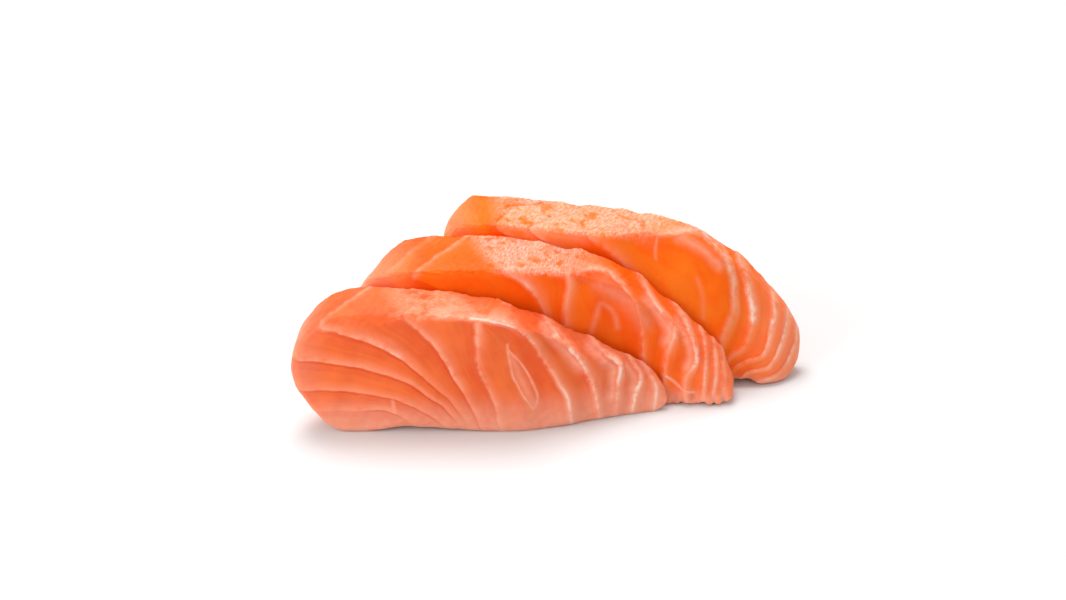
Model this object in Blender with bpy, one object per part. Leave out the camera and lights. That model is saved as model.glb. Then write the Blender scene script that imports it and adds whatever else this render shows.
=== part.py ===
"""Salmon sashimi: three thick slices cut from one block of fillet, still leaning together in cutting order.

The slices stand on their long edges. Each lies between two knife cuts, so neighbours share a cut with a
hair of room in it. Lengths in the tables are millimetres: x runs right along the slices, y goes back
from the front slice's foot, z is up from the board. The objects themselves are in metres.
"""

import bmesh
import bpy
import numpy as np
from mathutils import Matrix

MILLIMETRE = 0.001

# Driving sizes, in millimetres.
GAP = 0.32
ORIGIN = (54.93, 21.61)

# Grid of one slice: cells along its length, through its thickness and up its height. The outer RIM_SHARE
# at both ends of each direction is split into RIM_CELLS.
CELLS = (46, 7, 13)
RIM_CELLS = 2
RIM_SHARE = 0.1

# Knife cuts from front to back. "foot" is where the cut meets the board, as (x, y); "lean" is how far it
# goes back for each millimetre of height, as (x, slope).
CUTS = (
    {
        "foot": ((0, 0.4), (14, 0), (48, 0), (56, 1.3), (63, 3.7), (70, 6.2), (78, 8.6), (84, 9.6)),
        "lean": ((0, 0.03), (40, 0.04), (60, 0.12), (84, 0.12)),
    },
    {
        "foot": ((0, 12.0), (20, 12.6), (55, 12.4), (66, 11.8), (78, 10.6), (85, 9.6), (96, 10.8)),
        "lean": ((0, 0.03), (48, 0.05), (60, 0.08), (70, 0.14), (78, 0.24), (86, 0.33), (96, 0.35)),
    },
    {
        "foot": (
            (14, 26.6), (45, 26.8), (65, 24.5), (75, 21.2), (84, 18.3), (91, 17.2), (99, 17.0),
            (104, 18.2), (107, 20.6), (110, 23.6),
        ),
        "lean": (
            (14, 0.06), (50, 0.06), (65, 0.08), (75, 0.17), (84, 0.24), (91, 0.29), (97, 0.42),
            (104, 0.47), (110, 0.4),
        ),
    },
    {
        "foot": (
            (30, 42.8), (48, 42.4), (60, 40.4), (72, 37.4), (82, 34.4), (90, 32.4), (98, 30.8),
            (105, 29.6), (110, 28.4),
        ),
        "lean": ((30, 0.02), (80, 0.04), (90, 0.08), (98, 0.14), (110, 0.16)),
    },
)

# A cut isn't quite flat: the knife drifts in long waves, each cut's a little out of step with the last.
DRIFT = 0.45
DRIFT_LENGTH = 37.0
DRIFT_HEIGHT = 46.0
DRIFT_STEP = 0.31

# The slices from front to back. "front_crest" and "back_crest" are the heights of the two top edges, as
# (x, z). "left_end" and "right_end" are the ends' outlines, as (share of the height, x). "slant" is how
# far the left end moves right from the front cut to the back one, as (share of the height, distance).
# "arch" lifts the front foot.
#
# "sheets" are the thin sheets of fat between the muscle layers, drawn on the front cut as (x, z) from
# their upper or left end to the board, from left to right. Going back through the slice they move right
# by "shear", and down by "sink", for each millimetre. "hollow" is how deep the flesh sinks between them,
# as (x, depth). "soft_edge" is how much rounder than the others the front edge on top is.
SLICES = (
    {
        "name": "slice_front",
        "colour": (0.80, 0.17, 0.06, 1.0),
        "front_crest": (
            (0, 23.8), (5, 25.9), (13, 27.5), (22, 28.1), (40, 27.5), (45, 26.5), (50, 24.5), (57, 19.8),
            (66, 14.0), (74, 8.7), (80, 4.4),
        ),
        "back_crest": (
            (0, 23.6), (4, 26.2), (8, 27.8), (15, 28.9), (24, 28.8), (40, 26.7), (48, 24.5), (54, 22.1),
            (61, 18.8), (69, 14.6), (75, 11.0), (80, 6.0),
        ),
        "left_end": (
            (0, 9.6), (0.08, 7.0), (0.2, 4.4), (0.42, 1.4), (0.62, 0.6), (0.82, 1.7), (0.94, 4.0),
            (1, 6.6),
        ),
        "right_end": ((0, 78.6), (0.5, 80.0), (1, 78.4)),
        "slant": ((0, 3.4), (0.6, 3.4), (0.85, 2.5), (1, 2.2)),
        "arch": ((9, 0), (16, 0), (24, 1.25), (34, 0.6), (43, 0), (80, 0)),
        "sheets": (
            ((-6, 4), (4, 4.8), (13, 5.6), (18.5, 5.8), (22, 4.9), (25, 2.6), (27, -3)),
            ((-6, 9.6), (5.6, 10.3), (14, 9.8), (20.6, 8.7), (28, 5.3), (32.5, 1.6), (35, -3)),
            ((-6, 17.6), (3.4, 17.3), (14, 15.8), (24.9, 12.4), (29.2, 9), (33, 5.4), (36, 1.4), (38, -3)),
            ((3.6, 31), (5.6, 25.3), (10, 24.3), (20.6, 20), (27, 14.8), (33, 8.6), (37.4, 2.2), (40, -3)),
            ((22.4, 32), (22.8, 28.4), (25.6, 26), (30.8, 20.4), (34.6, 13), (37.8, 7), (41.5, -3)),
            ((38.2, 32), (38.9, 27.6), (39.3, 25), (39.2, 19), (40.8, 12), (43.4, 5.3), (44.5, -3)),
            (
                (39.6, 36), (40.1, 29.2), (41.6, 27.1), (44.9, 26.1), (48.8, 23.6), (51.2, 20.6),
                (53.2, 17), (56, 11.8), (58.4, 6.6), (59.8, -3),
            ),
            (
                (46.5, 32), (51.5, 27.3), (54.3, 24.4), (56.4, 20.9), (59.2, 17.7), (61.9, 13.1),
                (64, 8.3), (64.9, 2.8), (65.6, -3),
            ),
            (
                (57, 28), (62.3, 20.4), (64.7, 17.4), (67.1, 14.7), (69.7, 11.5), (69.2, 7.6),
                (68.7, 3), (68.6, -3),
            ),
            ((64, 27), (70, 16.2), (74, 8.8), (73.2, 5.6), (72.4, 2), (72.2, -3)),
            ((70, 21), (74.2, 12.6), (77.3, 5.6), (77, 1), (76.6, -3)),
        ),
        "shear": ((0, 1.2), (14, 1.1), (28, 0.85), (40, 0.45), (50, 0)),
        "sink": ((0, 0.05), (32, 0.1), (42, 0.35), (80, 0.35)),
        "soft_edge": ((0, 1.2), (0.06, 1.8), (0.16, 2.2), (0.28, 1.8), (0.4, 1), (1, 1)),
        "hollow": ((0, 0.1), (40, 0.25), (54, 0.9), (71, 1.0), (76, 0.5), (79, 0)),
    },
    {
        "name": "slice_middle",
        "colour": (0.86, 0.14, 0.02, 1.0),
        "front_crest": (
            (14, 28.4), (20, 30.4), (30, 31.6), (44, 31.7), (56, 30.8), (61, 29.7), (66, 27.9), (72, 24.4),
            (78, 19.7), (83, 16.0), (89, 9.8), (95, 4.4),
        ),
        "back_crest": (
            (14, 29.0), (20, 31.6), (28, 33.3), (40, 33.1), (50, 32.3), (60, 31.3), (66, 29.8), (74, 26.0),
            (82, 20.4), (89, 14.4), (92, 11.0), (95, 5.6),
        ),
        "left_end": (
            (0, 20.5), (0.08, 18.6), (0.25, 15.9), (0.5, 14.1), (0.72, 13.2), (0.88, 13.2), (1, 15.0),
        ),
        "right_end": ((0, 94.2), (0.5, 94.8), (1, 93.2)),
        "slant": ((0, 11.0), (0.66, 11.0), (0.88, 8.8), (1, 8.2)),
        "arch": ((14, 0), (95, 0)),
        "sheets": (
            ((6, 11), (20, 11), (28, 8), (34, 3), (37, -3)),
            ((6, 20), (20, 19), (30, 14), (38, 7), (42, -3)),
            ((17, 36), (18.8, 31), (22, 28), (30, 22), (38, 14), (44, 6), (48, -3)),
            ((25, 36), (25.6, 30.6), (30, 28), (36, 24), (43, 17), (49, 8), (54, -3)),
            ((44, 36), (44.9, 31.8), (50.3, 27.2), (54, 20), (56, 12), (57.5, -3)),
            ((57.4, 36), (58.2, 31), (58.6, 27.6), (57.8, 22), (57.8, 14), (58.8, 5), (59.6, -3)),
            (
                (58.5, 38), (59.1, 32.2), (60.4, 31.1), (63.8, 30.7), (67.2, 29.8), (70.6, 26.6),
                (73, 23.3), (74, 18.8), (74.4, 14.9), (75, -3),
            ),
            (
                (69, 37), (73.9, 28.3), (76.2, 23.7), (78.6, 20.2), (81.4, 16.6), (80.2, 13.2),
                (79.2, 9), (78.6, -3),
            ),
            (
                (76, 33), (82.2, 21.1), (84, 18.3), (85.3, 14.5), (85.9, 11.4), (85.2, 9),
                (83.8, 6.6), (83.2, -3),
            ),
            ((83.5, 28), (87.6, 15.6), (88.3, 11.6), (87.9, 7), (87, -3)),
            ((86.5, 25), (90.2, 12.8), (90.4, 9.4), (90.1, 6), (89.3, -3)),
            ((89.5, 20), (92, 10.6), (92.1, 7), (91.5, -3)),
        ),
        "shear": ((10, 0.9), (45, 0.8), (56, 0.45), (66, 0)),
        "sink": ((14, 0.1), (52, 0.1), (60, 0.35), (95, 0.35)),
        "soft_edge": ((0, 1), (0.55, 1), (0.68, 1.4), (0.85, 1), (1, 1)),
        "hollow": ((14, 0.15), (50, 0.25), (62, 0.9), (84, 1.0), (90, 0.5), (93.6, 0)),
    },
    {
        "name": "slice_back",
        "colour": (0.90, 0.20, 0.03, 1.0),
        "front_crest": (
            (30, 33.0), (38, 34.4), (50, 34.1), (64, 33.7), (76, 33.2), (84, 31.4), (92, 27.2), (98, 22.6),
            (102.5, 18.6),
        ),
        "back_crest": (
            (30, 34.0), (38, 35.5), (50, 35.0), (62, 34.1), (72, 34.0), (80, 33.9), (86, 32.7), (92, 29.4),
            (98, 24.9), (102.5, 20.6),
        ),
        "left_end": (
            (0, 38.7), (0.1, 36.2), (0.3, 33.9), (0.55, 32.7), (0.8, 31.9), (0.93, 31.9), (1, 32.8),
        ),
        "right_end": (
            (0, 106.9), (0.18, 109.6), (0.4, 109.6), (0.65, 107.5), (0.85, 104.9), (1, 102.4),
        ),
        "slant": ((0, 4.8), (1, 4.8)),
        "arch": ((30, 0), (91, 0), (95, 1.3), (97.4, 1.3), (101, 0), (109, 0)),
        "sheets": (
            ((24, 18), (38, 17), (46, 13), (52, 5), (55, -3)),
            ((24, 27), (40, 25), (50, 18), (58, 8), (62, -3)),
            ((42.2, 39), (43.4, 33.6), (52, 28), (60, 19), (66, 8), (69, -3)),
            ((49, 39), (50, 33.6), (58, 28), (66, 19), (72, 8), (75, -3)),
            ((61, 39), (62, 33.4), (68, 29), (74, 21), (79, 10), (82, -3)),
            (
                (70, 40), (74.5, 34), (77.2, 33.1), (81.5, 33.6), (86.3, 33.8), (89.5, 31.9),
                (92.8, 27.3), (94.4, 22), (94.4, 17), (91.8, 11), (90, -3),
            ),
            (
                (92.5, 37), (96.6, 24.6), (97.6, 20.1), (98.4, 15.3), (98.2, 12), (96.6, 8.6),
                (93, 6), (91.6, -3),
            ),
            (
                (102, 28), (103.6, 16.9), (102.9, 13), (102.2, 9.8), (100.8, 7), (97.6, 6.2),
                (94, 4), (92.7, -3),
            ),
            (
                (107, 22), (106.4, 12.4), (105, 8.8), (103.4, 6), (101.6, 4.4), (98.4, 4),
                (95.4, 1.4), (94.6, -3),
            ),
            ((110, 14), (108.2, 8), (106.4, 4.6), (103.6, 2.6), (100, 1.6), (97.4, -3)),
        ),
        "shear": ((30, 0.1), (46, 0.5), (56, 1.1), (70, 0.8), (82, 0)),
        "sink": ((30, 0.05), (70, 0.1), (78, 0.35), (102, 0.35), (108, 0.15)),
        "soft_edge": ((0, 1), (0.5, 1), (0.65, 1.7), (0.8, 1.3), (1, 1)),
        "hollow": ((30, 0.2), (60, 0.3), (80, 0.6), (97, 0.7), (103, 0.3), (106, 0)),
    },
)

# Beyond the outermost sheets the layers go on this wide, and a layer this wide has its full hollow. A
# hollow's deepest place lies nearer to the sheet on its right, where it ends in a step: SKEW says how much.
OUTER_LAYER = 5.0
FULL_LAYER = 6.0
SKEW = 1.6
SHEET_STEPS = 3

# The hollows fade out towards the board over this height.
FOOT_FADE = 2.0

# How far the left end swells out between its front and back edges.
END_BULGE = 1.8

# Shares of the height and of the thickness that the rounded edges take, as (share of the length, rim).
EDGE_RIM = ((0, 0.11), (0.12, 0.07), (0.5, 0.07), (0.75, 0.2), (1, 0.34))
SIDE_RIM = ((0, 0.16), (0.12, 0.1), (0.5, 0.1), (0.75, 0.22), (1, 0.34))
END_RIM = 0.022

FLESH_ROUGHNESS = 0.38
TINY = 1e-9


def through(knots, at):
    """Smooth curve through (place, value) knots, without overshoot and level beyond its ends.

    Each piece is a cubic whose end slopes are the harmonic means of the neighbouring chords.
    """
    place, value = np.array(knots, float).T
    step = np.diff(place)
    chord = np.diff(value) / step
    slope = np.zeros(len(place))
    same_way = chord[:-1] * chord[1:] > 0
    both = np.where(same_way, chord[:-1] + chord[1:], 1.0)
    slope[1:-1] = np.where(same_way, 2 * chord[:-1] * chord[1:] / both, 0.0)
    slope[0], slope[-1] = chord[0], chord[-1]
    at = np.clip(at, place[0], place[-1])
    piece = np.clip(np.searchsorted(place, at, side="right") - 1, 0, len(step) - 1)
    width = step[piece]
    t = (at - place[piece]) / width
    rise = t * t * (3 - 2 * t)
    start = slope[piece] * width * t * (1 - t) ** 2
    end = slope[piece + 1] * width * t * t * (t - 1)
    return value[piece] + (value[piece + 1] - value[piece]) * rise + start + end


def cut_depth(number, x, z):
    """y of a knife cut: its foot line, plus its lean times the height, plus the knife's slow drift."""
    cut = CUTS[number]
    turn = 2 * np.pi * (x / DRIFT_LENGTH + number * DRIFT_STEP)
    drift = DRIFT * np.sin(turn) * np.sin(2 * np.pi * z / DRIFT_HEIGHT)
    return through(cut["foot"], x) + through(cut["lean"], x) * z + drift


def sheet_curve(knots):
    """A smooth curve through a sheet's knots, as SHEET_STEPS straight runs between each two."""
    turns = np.arange(len(knots))
    steps = np.linspace(0, len(knots) - 1, SHEET_STEPS * (len(knots) - 1) + 1)
    x, z = np.array(knots, float).T
    return np.stack([through(np.stack([turns, x], -1), steps), through(np.stack([turns, z], -1), steps)], -1)


def beside(curve, places):
    """Distance of each place from a curve, positive on its upper right side."""
    run = np.diff(curve, axis=0)
    away = places[:, None] - curve[:-1]
    share = np.clip((away * run).sum(-1) / (run ** 2).sum(-1), 0, 1)
    distance = np.linalg.norm(away - share[..., None] * run, axis=-1)
    side = run[:, 0] * away[..., 1] - run[:, 1] * away[..., 0]
    nearest = distance.argmin(1)
    row = np.arange(len(places))
    return distance[row, nearest] * np.sign(side[row, nearest])


def layers(number, points):
    """Where points lie in the muscle layers: the place, a whole number at each sheet, and the layer's width.

    A point is moved forward along the sheets to the front cut. Between two sheets the place goes by the
    distances from both; outside them it goes on in layers OUTER_LAYER wide.
    """
    kind = SLICES[number]
    x, y, z = points.T
    behind = y - cut_depth(number, x, z)
    places = np.stack([x - through(kind["shear"], x) * behind, z + through(kind["sink"], x) * behind], -1)
    sides = np.stack([beside(sheet_curve(sheet), places) for sheet in kind["sheets"]])
    last = len(sides) - 1
    passed = (sides > 0).sum(0)
    row = np.arange(len(points))
    left = sides[np.clip(passed - 1, 0, last), row]
    right = sides[np.clip(passed, 0, last), row]
    inner = (passed > 0) & (passed <= last)
    width = np.where(inner, left - right, OUTER_LAYER)
    place = np.where(passed > 0, passed - 1 + left / np.maximum(width, TINY), right / OUTER_LAYER)
    return place, width


def hollows(number, points):
    """Depth of the flesh between the fat sheets: a skewed sine from sheet to sheet, less in thin layers."""
    place, width = layers(number, points)
    fraction = place - np.floor(place)
    full = through(SLICES[number]["hollow"], points[:, 0])
    fade = np.clip(points[:, 2] / FOOT_FADE, 0, 1)
    return full * fade * np.minimum(width / FULL_LAYER, 1) * np.sin(np.pi * fraction ** SKEW)


def widened(share, rim):
    """Moves a share of 0 to 1 so that the outer rims, RIM_SHARE wide at first, become rim wide."""
    low = share / RIM_SHARE * rim
    middle = rim + (share - RIM_SHARE) / (1 - 2 * RIM_SHARE) * (1 - 2 * rim)
    high = 1 - (1 - share) / RIM_SHARE * rim
    return np.where(share < RIM_SHARE, low, np.where(share > 1 - RIM_SHARE, high, middle))


def rounded(number, shares):
    """Rounds the unit block's edges: within the rims a point goes to the same direction on a ball."""
    along, depth, height = shares.T
    soft = 1 + (through(SLICES[number]["soft_edge"], along) - 1) * (1 - depth) ** 2 * height ** 2
    end_rim = np.full(len(along), END_RIM)
    rims = np.stack([end_rim, through(SIDE_RIM, along) * soft, through(EDGE_RIM, along) * soft], -1)
    moved = np.stack([widened(shares[:, axis], rims[:, axis]) for axis in range(3)], -1)
    core = np.clip(moved, rims, 1 - rims)
    way = (moved - core) / rims
    reach = np.linalg.norm(way, axis=1, keepdims=True)
    return core + rims * way / np.maximum(reach, TINY)


def slice_points(number, shares):
    """Bends a unit block's points to a slice: x between the ends, y between cuts, z from board to crest."""
    kind = SLICES[number]
    along, depth, height = shares.T
    bulge = END_BULGE * 4 * depth * (1 - depth)
    left = through(kind["left_end"], height) + through(kind["slant"], height) * depth - bulge
    right = through(kind["right_end"], height)
    x = left + (right - left) * along
    floor = through(kind["arch"], x) * (1 - depth)
    crest = through(kind["front_crest"], x) * (1 - depth) + through(kind["back_crest"], x) * depth
    z = floor + (crest - floor) * height
    front = cut_depth(number, x, z) + GAP / 2
    back = cut_depth(number + 1, x, z) - GAP / 2
    return np.stack([x, front + (back - front) * depth, z], -1)


def block_mesh(name):
    """A unit block whose faces are cut into the grid of CELLS, with narrower cells in the rims."""
    block = bmesh.new()
    bmesh.ops.create_cube(block, size=1.0, matrix=Matrix.Translation((0.5, 0.5, 0.5)))
    for axis, count in enumerate(CELLS):
        rim = np.linspace(0, RIM_SHARE, RIM_CELLS + 1)[1:]
        inner = np.linspace(RIM_SHARE, 1 - RIM_SHARE, count - 2 * RIM_CELLS + 1)[1:-1]
        normal = np.eye(3)[axis]
        for place in np.concatenate([rim, inner, 1 - rim]):
            everything = block.verts[:] + block.edges[:] + block.faces[:]
            bmesh.ops.bisect_plane(
                block, geom=everything, dist=TINY, plane_co=normal * place, plane_no=normal
            )
    mesh = bpy.data.meshes.new(name)
    block.to_mesh(mesh)
    block.free()
    return mesh


def read(mesh, what):
    """The mesh's vertex places ("co") or directions ("normal") as rows of x, y, z."""
    values = np.empty(3 * len(mesh.vertices))
    mesh.vertices.foreach_get(what, values)
    return values.reshape(-1, 3)


def move(mesh, points):
    mesh.vertices.foreach_set("co", points.ravel())
    mesh.update()


def flesh_material(kind):
    """Raw salmon flesh: orange, moist and a little glossy."""
    material = bpy.data.materials.new(kind["name"] + "_flesh")
    material.use_nodes = True
    surface = material.node_tree.nodes["Principled BSDF"]
    surface.inputs["Base Color"].default_value = kind["colour"]
    surface.inputs["Roughness"].default_value = FLESH_ROUGHNESS
    surface.inputs["Metallic"].default_value = 0.0
    return material


def make_slice(number):
    """One slice: a block bent between its cuts, with the flesh hollowed a little between the fat sheets."""
    kind = SLICES[number]
    mesh = block_mesh(kind["name"])
    points = slice_points(number, rounded(number, read(mesh, "co")))
    move(mesh, points)
    points -= read(mesh, "normal") * hollows(number, points)[:, None]
    points -= (*ORIGIN, 0.0)
    move(mesh, points * MILLIMETRE)
    mesh.shade_smooth()
    mesh.materials.append(flesh_material(kind))
    slice_object = bpy.data.objects.new(kind["name"], mesh)
    bpy.context.scene.collection.objects.link(slice_object)


def main():
    for old in list(bpy.data.objects):
        bpy.data.objects.remove(old)
    for number in range(len(SLICES)):
        make_slice(number)


main()
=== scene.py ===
"""Salmon sashimi: three thick slices of raw salmon in cutting order, with their muscle layers and fat lines.

Each slice is one closed surface. Six grids of two parameters, the faces of a unit block, are bent between
two knife cuts as in the part's own solids, and then hollowed between the fat sheets. Lengths in the tables
are millimetres: x runs right along the slices, y goes back, z is up from the board.
"""

import math

import bpy
import numpy as np
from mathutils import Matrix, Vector


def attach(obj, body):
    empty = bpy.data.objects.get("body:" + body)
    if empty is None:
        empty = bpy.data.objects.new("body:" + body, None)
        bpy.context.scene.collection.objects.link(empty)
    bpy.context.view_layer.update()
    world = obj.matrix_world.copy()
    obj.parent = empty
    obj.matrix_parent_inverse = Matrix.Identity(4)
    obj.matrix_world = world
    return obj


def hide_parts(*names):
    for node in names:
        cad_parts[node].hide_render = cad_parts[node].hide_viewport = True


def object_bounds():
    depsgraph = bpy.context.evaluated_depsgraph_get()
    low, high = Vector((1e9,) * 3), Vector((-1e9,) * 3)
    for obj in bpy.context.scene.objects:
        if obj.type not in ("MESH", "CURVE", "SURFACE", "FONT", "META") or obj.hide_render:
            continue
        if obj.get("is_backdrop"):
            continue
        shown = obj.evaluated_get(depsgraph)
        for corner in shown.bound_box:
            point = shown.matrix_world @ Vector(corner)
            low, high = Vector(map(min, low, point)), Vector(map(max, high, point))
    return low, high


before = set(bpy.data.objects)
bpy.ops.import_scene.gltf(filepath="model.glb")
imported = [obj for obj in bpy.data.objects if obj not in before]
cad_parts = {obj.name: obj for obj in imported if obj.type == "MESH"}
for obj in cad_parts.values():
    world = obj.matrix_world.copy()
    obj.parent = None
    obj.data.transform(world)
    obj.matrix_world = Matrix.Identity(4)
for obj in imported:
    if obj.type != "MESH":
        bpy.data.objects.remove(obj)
CAD_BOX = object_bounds()

MILLIMETRE = 0.001
TINY = 1e-9

# The gap between two slices, and the x and y of the frame's origin in the tables, both in millimetres.
GAP = 0.32
ORIGIN = (54.93, 21.61)

# Fine grid of one slice: cells along its length, through its thickness and up its height, and how many of
# them lie in the outer RIM_SHARE at each end of each direction.
CELLS = (262, 40, 90)
RIM_CELLS = (6, 8, 12)
RIM_SHARE = 0.1

# Knife cuts from front to back. "foot" is where the cut meets the board, as (x, y); "lean" is how far it
# goes back for each millimetre of height, as (x, slope).
CUTS = (
    {
        "foot": ((0, 0.4), (14, 0), (48, 0), (56, 1.3), (63, 3.7), (70, 6.2), (78, 8.6), (84, 9.6)),
        "lean": ((0, 0.03), (40, 0.04), (60, 0.12), (84, 0.12)),
    },
    {
        "foot": ((0, 12.0), (20, 12.6), (55, 12.4), (66, 11.8), (78, 10.6), (85, 9.6), (96, 10.8)),
        "lean": ((0, 0.03), (48, 0.05), (60, 0.08), (70, 0.14), (78, 0.24), (86, 0.33), (96, 0.35)),
    },
    {
        "foot": (
            (14, 26.6), (45, 26.8), (65, 24.5), (75, 21.2), (84, 18.3), (91, 17.2), (99, 17.0),
            (104, 18.2), (107, 20.6), (110, 23.6),
        ),
        "lean": (
            (14, 0.06), (50, 0.06), (65, 0.08), (75, 0.17), (84, 0.24), (91, 0.29), (97, 0.42),
            (104, 0.47), (110, 0.4),
        ),
    },
    {
        "foot": (
            (30, 42.8), (48, 42.4), (60, 40.4), (72, 37.4), (82, 34.4), (90, 32.4), (98, 30.8),
            (105, 29.6), (110, 28.4),
        ),
        "lean": ((30, 0.02), (80, 0.04), (90, 0.08), (98, 0.14), (110, 0.16)),
    },
)

# A cut isn't quite flat: the knife drifts in long waves, each cut's a little out of step with the last.
DRIFT = 0.45
DRIFT_LENGTH = 37.0
DRIFT_HEIGHT = 46.0
DRIFT_STEP = 0.31

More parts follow.
